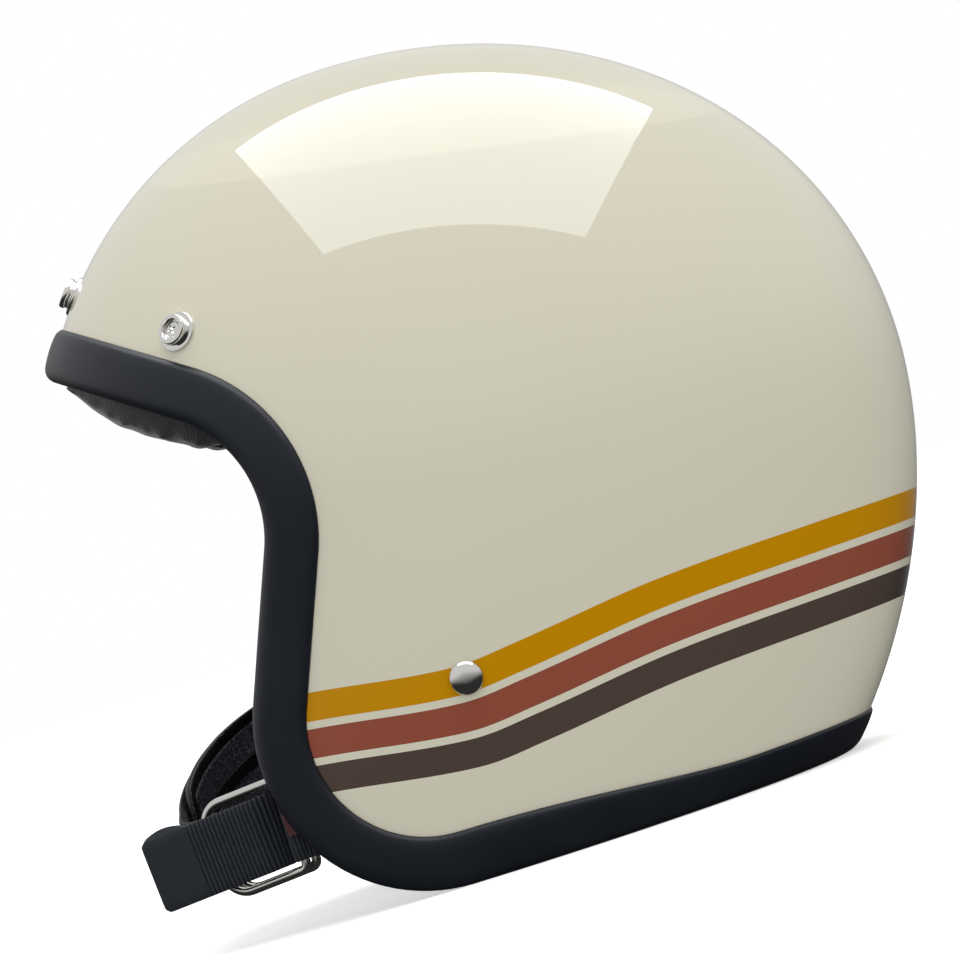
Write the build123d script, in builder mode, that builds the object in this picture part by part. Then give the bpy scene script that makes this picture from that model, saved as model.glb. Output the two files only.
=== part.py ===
"""Open face motorcycle helmet, size M, standing on its rim. Millimetres, +Z up.

The face opening looks along -Y and the wearer's left is +X. The origin is at the middle of the
table under the helmet. Every layer, from the painted shell in to the comfort liner, is a slice of
the same dome, and one line in the side view gives the edge of the face opening and the rim.
"""

from build123d import *
from math import acos, atan2, cos, radians, sin, sqrt
import os

os.makedirs("parts", exist_ok=True)

# ---- Driving dimensions: the dome ----------------------------------------------------------------
equator_height = 121.6  # the widest and longest level of the shell
equator_y = -12.2  # where the front and back halves of the side outline meet
front_reach = 126.8  # from there to the front of the dome
back_reach = 148.6
upper_rise = 133.4  # from the equator up to the crown
lower_drop = 168.3  # how steeply the back of the skirt tucks in
upper_roundness = 2.04  # superellipse exponents of the side outline
lower_roundness = 1.82
half_width = 118.0  # at the equator
rim_tuck = 14.0  # how much narrower each side is at the rim
tuck_exponent = 2.2
far = 400.0  # longer than anything, for cutting right through

# ---- Driving dimensions: layers, from the outside in ---------------------------------------------
shell_thickness = 3.5
lining_gap = 0.3  # between the shell and what is pushed into it
foam_thickness = 24.0
comfort_thickness = 6.0

foam_setback = 0.8  # the foam ends this far behind the edging
cheek_top = 100.0  # the foam is cut away below this and ahead of cheek_back
cheek_back = 12.0
neck_roll_top = 27.0
neck_roll_bottom = 2.0
neck_roll_front = 18.0
neck_inset = 24.0  # the neck roll's inner face, from the shell's outer surface
seam_gap = 0.5  # between the neck roll and the foam above it
brow_hang = 8.0  # how far the brow pad hangs below the edging
brow_low = 147.0
cheek_inset = 25.0
cheek_middle_place = (-33.0, 55.0)  # middle of the cheek pad in the side view (Y, Z)
cheek_size = (88.0, 86.0)
cheek_corner = 24.0
cheek_foot = -3.0  # behind this Y the pad is thick enough to stand on the shell
cheek_face = 62.0  # X of the face that meets the wearer's cheek
cheek_show = 3.0  # how far the pad shows in front of the edging
pocket_margin = 0.5  # the foam's pockets are this much wider than the tee nuts
pocket_depth = 2.0  # and this much deeper

# ---- Driving dimensions: the edge line in the side view (Y, Z) -----------------------------------
temple_centre = (-107.6, 130.0)  # the round corner of the face opening
temple_radius = 38.0
cheek_centre = (-42.0, 52.0)  # the round front corner of the skirt
cheek_radius = 52.0
brow_rise = 34.0  # degrees that the brow rises towards the front
trim_band = 16.2  # width of the rubber edging at the face opening
rim_band = 10.3  # and along the rim
rim_band_start = 14.0  # the Y where the edging has narrowed to rim_band
trim_lip = 2.6  # rubber outside the shell
trim_inner = 2.0  # rubber inside the shell
shell_setback = 3.0  # the shell's own edge stands this far inside the edging's nose

# ---- Driving dimensions: fasteners ---------------------------------------------------------------
stud_flange_radius = 6.5
stud_flange_height = 0.8
stud_neck_radius = 4.4
stud_neck_height = 0.5
stud_head_radius = 4.9
stud_head_height = 2.5
stud_recess_radius = 3.25
stud_recess_depth = 1.8
snap_screw_radius = 1.9
snap_screw_head_radius = 2.7
snap_screw_head_height = 0.9
screw_clearance = 0.2
tee_nut_flange_radius = 6.0
tee_nut_flange_height = 1.0
tee_nut_barrel_radius = 3.0
tee_nut_barrel_length = 6.0
stud_heights = {"left": 187.1, "center": 210.0, "right": 187.1}
side_stud_y = -78.1

pivot_y = -25.4  # the chin strap's rivets, which share one axis along X
pivot_z = 60.5
rivet_head_radius = 5.3
rivet_head_height = 2.4
rivet_shank_radius = 2.4
rivet_shoulder_radius = 4.4
plate_face = 101.0  # X of the hanger plate's outer face
plate_thickness = 1.6
plate_radius = 8.0
plate_reach = 20.0  # from the pivot to the slot for the strap
plate_slot = (16.0, 3.4)
plate_slot_radius = 1.5
plate_flank = 3.0  # how far the plate is wider than its round ends, each side
pivot_clearance = 0.3
washer_radius = 5.5
washer_thickness = 1.2
rivet_peen = 0.4  # the shank's end stands this far past the washer
rivet_inner_reach = 2.4  # from the plate's inner face to the shank's end
rivet_dome_radius = 2.0  # the rounding of the rivet's head
rivet_sink = 0.5  # the head starts this far inside the dome and is cut to lie on it
shoulder_gap = 1.1  # between the rivet's shoulder and the shell's sloping inner face

# ---- Driving dimensions: chin strap --------------------------------------------------------------
web_width = 23.0
web_thickness = 1.8
web_gap = 1.5  # between a hanger plate and the webbing sewn beside it
web_lap = 8.0  # the webbing is sewn this far over the plate's slot
lean_in = 0.4  # how fast the straps leave the plates towards the chin
pad_width = 29.0
pad_thickness = 4.0
left_pad_span = (0.5, 0.92)  # shares of the short strap's length
right_pad_span = (0.45, 0.93)  # shares of the long strap's free length
ring_wire_radius = 1.5
ring_width = 29.0  # between the middles of the wires
ring_length = 28.0
ring_spacing = 3.3  # the two rings lie on each other
ring_lag = 2.0  # the outer ring's bar is this far ahead
fold_offset = 6.0  # from the rings' middle plane to the middle of the webbing each side
fold_centre = 13.0  # distance of the fold's centre ahead of the inner bar
buckle_run = 30.0  # where the straight stretch through the rings gives way to the loop
tail_length = 50.0  # where the tail ends, ahead of the inner bar
hem_length = 17.0  # the folded and sewn end of the tail
ring_origin = (73.0, -88.0, 33.0)
strap_forward = (-0.42, -0.905, -0.08)
chin_points = ((8, -125, 33.5), (-50, -113.5, 47), (-79, -83, 57))  # round the chin, to the right
ring_corner = 2.2  # at the bar
ring_bow = 7.5  # the rounder corners of the bow
eye_length = 9.0
eye_radius = 3.5
eye_lap = 2.0  # the short strap meets the eye this far behind the inner bar
eye_margin = 1.7  # the eye is this much thinner than the fold, each side
tab_size = (6.0, 9.0, 1.0)  # along the strap, across it, and thick
tab_shift = 1.0  # ahead of the eye's middle
tab_lift = 0.8  # from the eye's face to the tab's middle


# ---- The dome ------------------------------------------------------------------------------------
def level(z, inset=0.0):
    """Centre, half length and half width of the dome's ellipse at a height."""
    above = z >= equator_height
    rise = (upper_rise if above else lower_drop) - (inset if above else 0)
    power = upper_roundness if above else lower_roundness
    share = min(abs(z - equator_height) / rise, 1.0)
    back = (1 - share**power) ** (1 / power)
    front = back if above else 1.0
    y_back = equator_y + (back_reach - inset) * back
    y_front = equator_y - (front_reach - inset) * front
    if above:
        width = (half_width - inset) * back
    else:
        width = half_width - inset - rim_tuck * ((equator_height - z) / equator_height) ** tuck_exponent
    return (y_front + y_back) / 2, (y_back - y_front) / 2, width


def dome(inset):
    """The solid dome whose surface lies this far inside the shell's outer surface."""
    crown = upper_rise - inset
    heights = [-25, 0, 25, 50, 75, 100, equator_height]
    heights += [equator_height + crown * sin(radians(angle)) for angle in (12, 25, 38, 51, 63, 74, 82, 87)]
    rings = []
    for height in heights:
        centre, half_length, width = level(height, inset)
        with BuildSketch(Plane.XY.offset(height)) as ring:
            with Locations((0, centre)):
                Ellipse(width, half_length)
        rings.append(ring.sketch.face())
    top = level(equator_height + crown, inset)[0]
    with BuildPart() as solid:
        loft(sections=rings + [Vertex(0, top, equator_height + crown)])
    return solid.part


def side_x(y, z, inset=0.0):
    """X of the dome's left side at a place in the side view."""
    centre, half_length, width = level(z, inset)
    return width * sqrt(max(0.0, 1 - ((y - centre) / half_length) ** 2))


def outward(x, y, z):
    """The dome's outward normal at a point of its surface."""

    def field(px, py, pz):
        centre, half_length, width = level(pz)
        return (px / width) ** 2 + ((py - centre) / half_length) ** 2

    step = 0.1
    return Vector(
        field(x + step, y, z) - field(x - step, y, z),
        field(x, y + step, z) - field(x, y - step, z),
        field(x, y, z + step) - field(x, y, z - step),
    ).normalized()


# ---- The edge line -------------------------------------------------------------------------------
def behind_edge(setback, rim_height=None):
    """Everything behind and above the edge line, moved back into the shell by `setback`.

    The temple corner grows by the setback and the cheek corner shrinks by it, so the straight
    stretch between them stays tangent to both. Along the rim the line is `setback` above the
    table, or eases to `rim_height` if that is given.
    """
    temple = Vector(*temple_centre)
    cheek = Vector(*cheek_centre)
    span = cheek - temple
    lean = atan2(span.Y, span.X) + acos((temple_radius + cheek_radius) / span.length)
    facing = Vector(cos(lean), sin(lean))
    brow_facing = Vector(sin(radians(brow_rise)), cos(radians(brow_rise)))
    brow_along = Vector(-brow_facing.Y, brow_facing.X)
    big = temple_radius + setback
    small = cheek_radius - setback
    brow_start = temple + brow_facing * big
    brow_end = brow_start + brow_along * 80
    temple_middle = temple + (facing + brow_facing).normalized() * big
    temple_end = temple + facing * big
    cheek_start = cheek - facing * small
    cheek_middle = cheek - (facing + Vector(0, 1)).normalized() * small
    cheek_low = cheek - Vector(0, small)
    low = setback if rim_height is None else rim_height
    with BuildSketch(Plane.YZ) as region:
        with BuildLine():
            Line((brow_end.X, far), brow_end)
            Line(brow_end, brow_start)
            ThreePointArc(brow_start, temple_middle, temple_end)
            Line(temple_end, cheek_start)
            ThreePointArc(cheek_start, cheek_middle, cheek_low)
            if rim_height is None:
                Line(cheek_low, (far, low))
            else:
                Spline(cheek_low, (rim_band_start, low), tangents=((1, 0), (1, 0)))
                Line((rim_band_start, low), (far, low))
            Polyline((far, low), (far, far), (brow_end.X, far))
        make_face()
    with BuildPart() as prism:
        extrude(region.sketch, amount=far, both=True)
    return prism.part


def side_box(y_low, y_high, z_low, z_high):
    """A box right through from side to side."""
    with BuildPart(Plane((0, (y_low + y_high) / 2, (z_low + z_high) / 2))) as block:
        Box(far, y_high - y_low, z_high - z_low)
    return block.part


trimmed_inset = shell_thickness + trim_inner + lining_gap  # just inside the edging
foam_region = behind_edge(trim_band + foam_setback, rim_band + foam_setback)

# ---- Snap studs: where they sit ------------------------------------------------------------------
stud_seats = {}
for side, height in stud_heights.items():
    centre, half_length, width = level(height)
    y = centre - half_length if side == "center" else side_stud_y
    x = {"left": 1, "center": 0, "right": -1}[side] * (0 if side == "center" else side_x(y, height))
    stud_seats[side] = Plane(origin=(x, y, height), z_dir=outward(x, y, height))

# ---- Rivets: where they sit ----------------------------------------------------------------------
rivet_x = side_x(pivot_y, pivot_z)
left_pivot = Plane(origin=(0, pivot_y, pivot_z), x_dir=(0, 1, 0), z_dir=(1, 0, 0))
right_pivot = Plane(origin=(0, pivot_y, pivot_z), x_dir=(0, 1, 0), z_dir=(-1, 0, 0))

# ---- Outer shell ---------------------------------------------------------------------------------
outer_dome = dome(0.0)
with BuildPart() as shell_blank:
    add(outer_dome)
    add(dome(shell_thickness), mode=Mode.SUBTRACT)
    add(behind_edge(shell_setback), mode=Mode.INTERSECT)

with BuildPart() as outer_shell:
    add(shell_blank.part)
    for seat in stud_seats.values():
        with BuildSketch(seat.offset(shell_thickness)):
            Circle(snap_screw_radius + screw_clearance)
        extrude(amount=-3 * shell_thickness, mode=Mode.SUBTRACT)
    with BuildSketch(left_pivot):
        Circle(rivet_shank_radius)
    extrude(amount=far, both=True, mode=Mode.SUBTRACT)
outer_shell.part.label = "outer_shell"

# ---- Rubber edging: a channel pushed over the shell's edge, one loop -----------------------------
with BuildPart() as edge_trim:
    add(dome(-trim_lip))
    add(dome(shell_thickness + trim_inner), mode=Mode.SUBTRACT)
    add(behind_edge(0.0), mode=Mode.INTERSECT)
    add(behind_edge(trim_band, rim_band), mode=Mode.SUBTRACT)
    add(shell_blank.part, mode=Mode.SUBTRACT)
edge_trim.part.label = "edge_trim"

# ---- Impact foam: one moulding, cut away over the cheeks and above the neck roll -----------------
foam_outer = shell_thickness + lining_gap
foam_inner = foam_outer + foam_thickness
with BuildPart() as eps_liner:
    add(dome(foam_outer))
    add(dome(foam_inner), mode=Mode.SUBTRACT)
    add(foam_region, mode=Mode.INTERSECT)
    add(side_box(-far, cheek_back, -far, cheek_top), mode=Mode.SUBTRACT)
    add(side_box(-far, far, -far, neck_roll_top), mode=Mode.SUBTRACT)
    for seat in stud_seats.values():
        with BuildSketch(seat.offset(-shell_thickness - tee_nut_barrel_length - pocket_depth)):
            Circle(tee_nut_flange_radius + pocket_margin)
        extrude(amount=tee_nut_barrel_length + 2 * pocket_depth, mode=Mode.SUBTRACT)
eps_liner.part.label = "eps_liner"

# ---- Comfort liner: the quilted cap that lines the foam over the crown and down the back ---------
with BuildPart() as comfort_liner:
    add(dome(foam_inner + lining_gap))
    add(dome(foam_inner + lining_gap + comfort_thickness), mode=Mode.SUBTRACT)
    add(foam_region, mode=Mode.INTERSECT)
    add(side_box(-far, cheek_back, -far, cheek_top), mode=Mode.SUBTRACT)
    add(side_box(-far, far, -far, neck_roll_top), mode=Mode.SUBTRACT)
comfort_liner.part.label = "comfort_liner"

# ---- Brow pad: hangs a little below the edging ---------------------------------------------------
brow_region = behind_edge(-brow_hang)
with BuildPart() as brow_pad:
    add(dome(trimmed_inset))
    add(dome(foam_inner), mode=Mode.SUBTRACT)
    add(brow_region, mode=Mode.INTERSECT)
    add(foam_region, mode=Mode.SUBTRACT)
    add(side_box(-far, cheek_back, brow_low, far), mode=Mode.INTERSECT)
brow_pad.part.label = "brow_pad"

# ---- Cheek pads ----------------------------------------------------------------------------------
with BuildSketch(Plane.YZ) as cheek_outline:
    with Locations(cheek_middle_place):
        RectangleRounded(*cheek_size, cheek_corner)
with BuildPart() as cheek_block:
    extrude(cheek_outline.sketch, amount=far)
with BuildPart() as pad_foot:
    add(dome(foam_outer))
    add(cheek_block.part, mode=Mode.INTERSECT)
    add(side_box(cheek_foot, far, -far, far), mode=Mode.INTERSECT)
    add(foam_region, mode=Mode.INTERSECT)
    with BuildSketch(Plane.YZ.offset(cheek_face)):
        Rectangle(far, far)
    extrude(amount=-far, mode=Mode.SUBTRACT)
cheek_pads = {}
for side in ("left", "right"):
    with BuildPart() as pad:
        add(dome(cheek_inset))
        add(cheek_block.part, mode=Mode.INTERSECT)
        add(behind_edge(-cheek_show), mode=Mode.INTERSECT)
        with BuildSketch(Plane.YZ.offset(cheek_face)):
            Rectangle(far, far)
        extrude(amount=-far, mode=Mode.SUBTRACT)
        add(pad_foot.part)
        if side == "right":
            mirror(about=Plane.YZ, mode=Mode.REPLACE)
    pad.part.label = f"cheek_pad_{side}"
    cheek_pads[side] = pad

# ---- Neck roll: the soft band round the back of the rim ------------------------------------------
with BuildPart() as neck_roll:
    add(dome(trimmed_inset))
    add(dome(neck_inset), mode=Mode.SUBTRACT)
    add(side_box(neck_roll_front, far, neck_roll_bottom, neck_roll_top - seam_gap), mode=Mode.INTERSECT)
neck_roll.part.label = "neck_roll"

# ---- Snap studs, their screws and the nuts behind the shell --------------------------------------
stud_top = stud_flange_height + stud_neck_height + stud_head_height
stud_sink = 0.6  # the flange starts this far inside the dome and is cut to lie on it
snap_studs = {}
for side, seat in stud_seats.items():
    with BuildPart() as stud:
        with BuildSketch(seat.offset(-stud_sink)):
            Circle(stud_flange_radius)
        extrude(amount=stud_flange_height + stud_sink)
        with BuildSketch(seat.offset(stud_flange_height)):
            Circle(stud_neck_radius)
        extrude(amount=stud_neck_height)
        with BuildSketch(seat.offset(stud_flange_height + stud_neck_height)):
            Circle(stud_head_radius)
        extrude(amount=stud_head_height)
        with BuildSketch(seat.offset(stud_top)):
            Circle(stud_recess_radius)
        extrude(amount=-stud_recess_depth, mode=Mode.SUBTRACT)
        with BuildSketch(seat.offset(stud_top)):
            Circle(snap_screw_radius + screw_clearance)
        extrude(amount=-stud_top - shell_thickness, mode=Mode.SUBTRACT)
        add(outer_dome, mode=Mode.SUBTRACT)
    stud.part.label = f"snap_stud_{side}"
    snap_studs[side] = stud

screw_seat = stud_top - stud_recess_depth
with BuildPart() as snap_screws:
    for seat in stud_seats.values():
        with BuildSketch(seat.offset(screw_seat)):
            Circle(snap_screw_head_radius)
        extrude(amount=snap_screw_head_height)
        with BuildSketch(seat.offset(screw_seat)):
            Circle(snap_screw_radius)
        extrude(amount=-(screw_seat + shell_thickness + tee_nut_barrel_length))
snap_screws.part.label = "snap_screws"

with BuildPart() as snap_tee_nuts:
    for seat in stud_seats.values():
        with BuildSketch(seat.offset(-shell_thickness - lining_gap)):
            Circle(tee_nut_flange_radius)
            Circle(snap_screw_radius, mode=Mode.SUBTRACT)
        extrude(amount=-tee_nut_flange_height)
        with BuildSketch(seat.offset(-shell_thickness - tee_nut_flange_height)):
            Circle(tee_nut_barrel_radius)
            Circle(snap_screw_radius, mode=Mode.SUBTRACT)
        extrude(amount=-tee_nut_barrel_length)
snap_tee_nuts.part.label = "snap_tee_nuts"

# ---- Chin strap rivets and their washers ---------------------------------------------------------
plate_inner = plate_face - plate_thickness
rivet_end = plate_inner - rivet_inner_reach
shoulder_top = rivet_x - shell_thickness - shoulder_gap
rivets = {}
for side, pivot in (("left", left_pivot), ("right", right_pivot)):
    with BuildPart() as rivet:
        with BuildSketch(pivot.offset(rivet_x - rivet_sink)):
            Circle(rivet_head_radius)
        extrude(amount=rivet_head_height + rivet_sink)
        rims = rivet.edges().filter_by(GeomType.CIRCLE).sort_by(Axis(pivot.origin, pivot.z_dir))
        fillet(rims[-1], rivet_dome_radius)
        add(outer_dome, mode=Mode.SUBTRACT)
        with BuildSketch(pivot.offset(rivet_end)):
            Circle(rivet_shank_radius)
        extrude(amount=rivet_x - rivet_end)
        with BuildSketch(pivot.offset(plate_face + pivot_clearance)):
            Circle(rivet_shoulder_radius)
        extrude(amount=shoulder_top - plate_face - pivot_clearance)
    rivet.part.label = f"rivet_{side}"
    rivets[side] = rivet

with BuildPart() as rivet_washers:
    for pivot in (left_pivot, right_pivot):
        with BuildSketch(pivot.offset(rivet_end + rivet_peen)):
            Circle(washer_radius)
            Circle(rivet_shank_radius, mode=Mode.SUBTRACT)
        extrude(amount=washer_thickness)
rivet_washers.part.label = "rivet_washers"

# ---- Planes and paths of the chin strap ----------------------------------------------------------
forward = Vector(*strap_forward).normalized()
outwards = Vector(-forward.Y, forward.X, 0).normalized()
buckle = Plane(origin=ring_origin, x_dir=forward, z_dir=outwards)
fold_plane = Plane(origin=ring_origin, x_dir=forward, z_dir=buckle.y_dir)  # its Y points inwards

left_hang = Vector(0, ring_origin[1] - pivot_y, ring_origin[2] - pivot_z).normalized()
right_hang = Vector(0, -1, -0.06).normalized()
web_inside = plate_inner - web_gap - web_thickness / 2
left_start = Vector(web_inside, pivot_y, pivot_z) + left_hang * (plate_reach - web_lap)
right_start = Vector(-web_inside, pivot_y, pivot_z) + right_hang * (plate_reach - web_lap)
eye_back = buckle.origin - forward * eye_lap

with BuildLine() as short_path:
    Spline(left_start, eye_back, tangents=(left_hang - Vector(lean_in, 0, 0), forward))
with BuildLine() as long_path:
    Spline(
        buckle.origin + forward * buckle_run - outwards * fold_offset,
        *chin_points,
        right_start,
        tangents=(forward, Vector(-lean_in, 0, 0) - right_hang),
    )


def cross_section(line, share, width, thickness, shift=0.0):
    """A rectangle across a path, its long side upright, moved sideways towards the wearer."""
    along = line % share
    up = Vector(0, 0, 1)
    across = (up - along * up.dot(along)).normalized()
    side = along.cross(across)
    here = line @ share
    inwards = side if side.dot(Vector(0, -60, here.Z) - here) > 0 else -side
    with BuildSketch(Plane(origin=here + inwards * shift, x_dir=across, z_dir=along)) as section:
        Rectangle(width, thickness)
    return section.sketch.face()


def band(line, start, end, count, width, thickness, shift=0.0):
    """A flat band along a path."""
    shares = [start + (end - start) * i / (count - 1) for i in range(count)]
    with BuildPart() as strip:
        loft(sections=[cross_section(line, share, width, thickness, shift) for share in shares])
    return strip.part


# ---- Hanger plates -------------------------------------------------------------------------------
hanger_plates = {}
for side, pivot, hang in (("left", left_pivot, left_hang), ("right", right_pivot, right_hang)):
    mirror_sign = 1 if side == "left" else -1
    flat = Plane(
        origin=(mirror_sign * plate_inner, pivot_y, pivot_z), x_dir=hang, z_dir=(mirror_sign, 0, 0)
    )
    with BuildPart() as plate:
        with BuildSketch(flat):
            with Locations((plate_reach / 2, 0)):
                RectangleRounded(
                    plate_reach + 2 * plate_radius, 2 * (plate_radius + plate_flank), plate_radius
                )
            Circle(rivet_shank_radius + pivot_clearance, mode=Mode.SUBTRACT)
            with Locations((plate_reach, 0)):
                RectangleRounded(plate_slot[1], plate_slot[0], plate_slot_radius, mode=Mode.SUBTRACT)
        extrude(amount=plate_thickness)
    plate.part.label = f"hanger_plate_{side}"
    hanger_plates[side] = plate

# ---- Short strap with the eye that holds both rings ----------------------------------------------
eye_thickness = 2 * (fold_offset - eye_margin)
bar_bore = ring_wire_radius + pivot_clearance
with BuildPart() as short_strap:
    add(band(short_path.line, 0.0, 1.0, 6, web_width, web_thickness))
    with BuildSketch(fold_plane):
        with Locations((ring_lag / 2, 0)):
            RectangleRounded(eye_length, eye_thickness, eye_radius)
    extrude(amount=web_width / 2, both=True)
    with BuildSketch(fold_plane):
        with Locations((0, ring_spacing / 2), (ring_lag, -ring_spacing / 2)):
            Circle(bar_bore)
    extrude(amount=far, both=True, mode=Mode.SUBTRACT)
short_strap.part.label = "short_strap"

# ---- D-rings -------------------------------------------------------------------------------------
d_rings = {}
for name, height, lag in (("inner", -ring_spacing / 2, 0.0), ("outer", ring_spacing / 2, ring_lag)):
    flat = buckle.offset(height)
    flat = Plane(origin=flat.origin + forward * lag, x_dir=flat.x_dir, z_dir=flat.z_dir)
    with BuildPart() as ring:
        with BuildLine(flat) as wire:
            FilletPolyline(
                (0, -ring_width / 2), (0, ring_width / 2), (ring_length, ring_width / 2),
                (ring_length, -ring_width / 2), close=True,
                radius=(ring_corner, ring_corner, ring_bow, ring_bow),
            )
        with BuildSketch(Plane(origin=wire.line @ 0, z_dir=wire.line % 0)):
            Circle(ring_wire_radius)
        sweep(path=wire.line)
    ring.part.label = f"d_ring_{name}"
    d_rings[name] = ring

# ---- Long strap: from the right plate round the chin, up through both rings and back as the tail ---
with BuildPart() as long_strap:
    add(band(long_path.line, 0.0, 1.0, 15, web_width, web_thickness))
    with BuildSketch(fold_plane):
        with Locations((fold_centre, 0)):
            Circle(fold_offset + web_thickness / 2)
            Circle(fold_offset - web_thickness / 2, mode=Mode.SUBTRACT)
        with Locations((fold_centre + fold_offset, 0)):
            Rectangle(2 * fold_offset, 3 * fold_offset, mode=Mode.SUBTRACT)
        with Locations(((fold_centre + buckle_run) / 2, fold_offset)):
            Rectangle(buckle_run - fold_centre, web_thickness)
        with Locations(((fold_centre + tail_length) / 2, -fold_offset)):
            Rectangle(tail_length - fold_centre, web_thickness)
    extrude(amount=web_width / 2, both=True)
    with BuildSketch(fold_plane):
        with Locations((tail_length - hem_length / 2, -fold_offset - web_thickness / 2)):
            Rectangle(hem_length, 2 * web_thickness)
    extrude(amount=web_width / 2, both=True)
long_strap.part.label = "long_strap"

# ---- Strap pads on the wearer's side -------------------------------------------------------------
pad_shift = web_thickness / 2 + lining_gap + pad_thickness / 2
with BuildPart() as strap_pad_left:
    add(band(short_path.line, *left_pad_span, 5, pad_width, pad_thickness, pad_shift))
strap_pad_left.part.label = "strap_pad_left"
with BuildPart() as strap_pad_right:
    add(band(long_path.line, *right_pad_span, 8, pad_width, pad_thickness, pad_shift))
strap_pad_right.part.label = "strap_pad_right"

# ---- Release tab sewn to the eye -----------------------------------------------------------------
with BuildPart() as release_tab:
    with BuildSketch(fold_plane):
        with Locations((ring_lag / 2 + tab_shift, -eye_thickness / 2 - tab_lift)):
            Rectangle(tab_size[0], tab_size[2])
    extrude(amount=tab_size[1] / 2, both=True)
release_tab.part.label = "release_tab"

# ---- Write every piece ---------------------------------------------------------------------------
pieces = [outer_shell, edge_trim, eps_liner, comfort_liner, brow_pad, neck_roll]
pieces += list(cheek_pads.values()) + list(snap_studs.values()) + [snap_screws, snap_tee_nuts]
pieces += list(rivets.values()) + [rivet_washers] + list(hanger_plates.values())
pieces += [short_strap, long_strap, strap_pad_left, strap_pad_right, release_tab] + list(d_rings.values())
for piece in pieces:
    export_step(piece.part, f"parts/{piece.part.label}.step")
    print(piece.part.label, "volume", round(piece.part.volume), "mm3")
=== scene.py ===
# %% [markdown]
# # Open face motorcycle helmet
# This lesson dresses a finished CAD model of a helmet in its real surfaces. The CAD model is the
# frame: it stands on its rim at Z = 0, its face opening looks along -Y, and the wearer's left is +X.
# Everything is in metres. Pieces whose CAD shape is right only get a material; the others are
# modelled here, in the same place.

# %% Load the frame
from math import acos, atan2, cos, exp, hypot, pi, radians, sin, sqrt, tan

import bmesh
import bpy
from mathutils import Matrix, Vector
from mathutils.kdtree import KDTree


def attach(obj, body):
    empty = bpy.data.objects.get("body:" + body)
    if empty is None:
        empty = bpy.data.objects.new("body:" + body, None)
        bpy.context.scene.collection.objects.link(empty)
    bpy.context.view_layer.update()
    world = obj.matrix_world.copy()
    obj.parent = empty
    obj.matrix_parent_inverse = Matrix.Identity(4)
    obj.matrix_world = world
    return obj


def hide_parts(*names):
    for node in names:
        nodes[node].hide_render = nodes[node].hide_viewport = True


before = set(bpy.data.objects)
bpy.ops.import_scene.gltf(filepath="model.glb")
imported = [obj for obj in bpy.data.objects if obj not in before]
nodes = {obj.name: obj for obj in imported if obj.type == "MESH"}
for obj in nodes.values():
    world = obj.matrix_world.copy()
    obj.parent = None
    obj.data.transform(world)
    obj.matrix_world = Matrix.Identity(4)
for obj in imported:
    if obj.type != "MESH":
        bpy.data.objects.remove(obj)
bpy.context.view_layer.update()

# %% [markdown]
# ## The camera
# The camera looks square at the wearer's left side. The helmet is shown as it is worn, with its rim
# sloping, so the camera is rolled by that slope and the helmet itself stays on its rim. A long lens
# from 2.4 m keeps the outline almost free of perspective.

# %% Camera
mm = 0.001
camera_distance = 2.4
worn_slope = radians(17.5)
camera_data = bpy.data.cameras.new("side_camera")
camera_data.sensor_width = 36
camera_data.lens = 284.4
camera_data.clip_end = 20
camera = bpy.data.objects.new("side_camera", camera_data)
bpy.context.scene.collection.objects.link(camera)
camera_right = Vector((0, cos(worn_slope), -sin(worn_slope)))
camera_up = Vector((0, sin(worn_slope), cos(worn_slope)))
camera_back = camera_right.cross(camera_up)
turn = Matrix((camera_right, camera_up, camera_back)).transposed().to_4x4()
camera.matrix_world = Matrix.Translation((camera_distance, -0.0033, 0.117)) @ turn
bpy.context.scene.camera = camera
print("camera looks along", tuple(round(c, 3) for c in -camera_back))

# %% [markdown]
# ## Small helpers
# Blender's operators act on whatever is selected, so each step first selects only its own piece.
# Colours are given as sRGB hex values and turned to linear light by one function.

# %% Selecting and finishing
def only(piece):
    """Select one object and nothing else."""
    bpy.ops.object.select_all(action="DESELECT")
    piece.select_set(True)
    bpy.context.view_layer.objects.active = piece
    return piece


def apply_modifiers(piece):
    only(piece)
    for modifier in list(piece.modifiers):
        bpy.ops.object.modifier_apply(modifier=modifier.name)


def settle(piece):
    """Put the piece's place into its mesh and leave its object at the origin."""
    only(piece)
    bpy.ops.object.transform_apply(location=True, rotation=True, scale=True)


def tidy_mesh(piece, gap=2e-6, outward=True):
    """Merge doubled points and, on a closed shape, point the faces outwards."""
    only(piece)
    bpy.ops.object.mode_set(mode="EDIT")
    bpy.ops.mesh.select_all(action="SELECT")
    bpy.ops.mesh.remove_doubles(threshold=gap)
    if outward:
        bpy.ops.mesh.normals_make_consistent(inside=False)
    bpy.ops.object.mode_set(mode="OBJECT")


def smooth(piece, angle=None):
    only(piece)
    if angle is None:
        bpy.ops.object.shade_smooth()
    else:
        bpy.ops.object.shade_smooth_by_angle(angle=radians(angle))


def stands_for(piece, body, slot, *replaced):
    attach(piece, body)
    if replaced:
        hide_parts(*replaced)
    print(piece.name, "on", body, "faces", len(piece.data.polygons))


# %% Colours and nodes
def linear(hex_colour):
    """sRGB hex to linear light."""
    channels = [int(hex_colour[i : i + 2], 16) / 255 for i in (1, 3, 5)]
    return tuple(c / 12.92 if c <= 0.04045 else ((c + 0.055) / 1.055) ** 2.4 for c in channels) + (1.0,)


def node(material, kind, links=(), **settings):
    """Add a node. A setting named with a number or a socket's name fills that input."""
    tree = material.node_tree
    new = tree.nodes.new(kind)
    for name, value in settings.items():
        if name.startswith("in_"):
            key = name[3:].replace("_", " ")
            new.inputs[int(key) if key.isdigit() else key].default_value = value
        else:
            setattr(new, name, value)
    for source, target in links:
        tree.links.new(source, new.inputs[target])
    return new


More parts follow.
